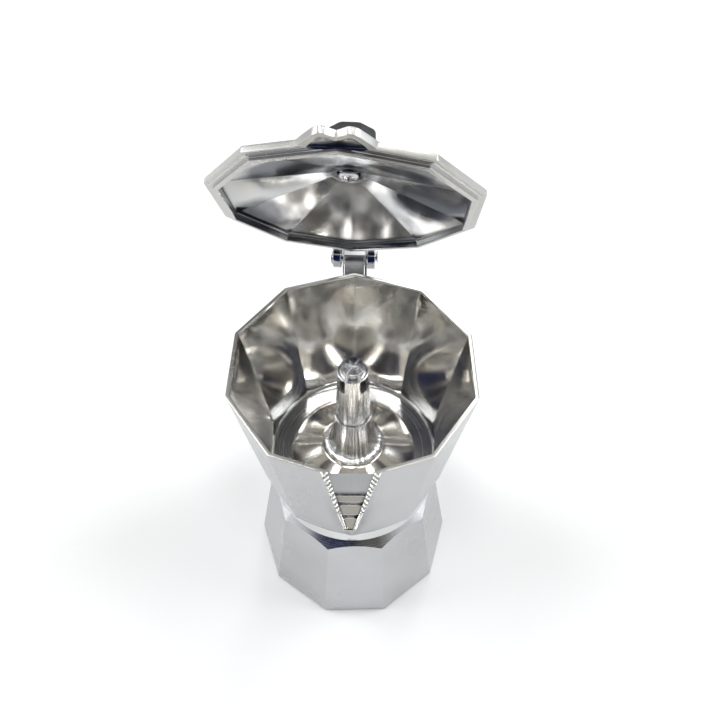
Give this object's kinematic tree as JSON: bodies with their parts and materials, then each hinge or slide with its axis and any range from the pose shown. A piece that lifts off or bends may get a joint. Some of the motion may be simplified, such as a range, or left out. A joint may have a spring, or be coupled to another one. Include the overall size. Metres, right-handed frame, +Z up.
{
  "type": "moka pot",
  "caption": "Ten-sided stovetop moka pot with a screw-on collector, beaked spout, riser column, hinged lid standing open, black knob and black handle.",
  "frame": {"origin": "centre of the boiler's flat base, on the surface the pot stands on", "axes": "+Z up, -Y towards the spout, +Y towards the hinge and handle, +X to the right of someone facing the spout's back"},
  "size_m": [0.0899, 0.1619, 0.2236],
  "materials": {
    "cast_aluminium": "die cast, facets polished to satin outside and to a near mirror inside",
    "polished_aluminium": "polished with lengthwise marks",
    "sheet_aluminium": "plain pressed sheet",
    "brass": "turned",
    "steel": "plain bright wire and turned steel",
    "white_rubber": "matte off-white seal rubber",
    "red_fibre": "matte vulcanised fibre washer",
    "black_plastic": "moulded black thermoset, satin matte"
  },
  "bodies": {
    "boiler": {"boiler": "cast_aluminium", "valve_body": "brass", "valve_washer": "red_fibre", "valve_retainer": "steel", "funnel": "sheet_aluminium", "funnel_plate": "sheet_aluminium"},
    "plunger": {"valve_plunger": "steel", "valve_spring": "steel"},
    "seal": {"gasket": "white_rubber", "filter_plate": "sheet_aluminium"},
    "collector": {"collector": "cast_aluminium", "riser_column": "polished_aluminium", "column_cap": "polished_aluminium", "hinge_pin": "steel", "handle": "black_plastic", "handle_pin": "steel"},
    "lid": {"lid": "cast_aluminium", "knob": "black_plastic", "knob_insert": "brass", "knob_washer": "steel", "knob_screw": "steel"}
  },
  "joints": [
    {"name": "thread_rise", "type": "slide", "parent": "boiler", "child": "seal", "axis": [0, 0, 1], "range_m": [0, 0.0075]},
    {"name": "unscrew", "type": "hinge", "parent": "seal", "child": "collector", "pos_m": [0, 0, 0.0605], "axis": [0, 0, 1], "range_deg": [0, 900]},
    {"name": "lid_hinge", "type": "hinge", "parent": "collector", "child": "lid", "pos_m": [0, 0.053, 0.1336], "axis": [-0.9978, 0.0248, -0.0622], "range_deg": [-60.89, 45]},
    {"name": "valve_lift", "type": "slide", "parent": "boiler", "child": "plunger", "axis": [-0.6022, 0.7809, 0.1658], "range_m": [0, 0.0008], "stiffness_N_per_m": 300, "springref_m": -0.002}
  ],
  "couplings": [
    {"joint": "thread_rise", "follows": "unscrew", "m_per_rad": 0.00047746}
  ]
}
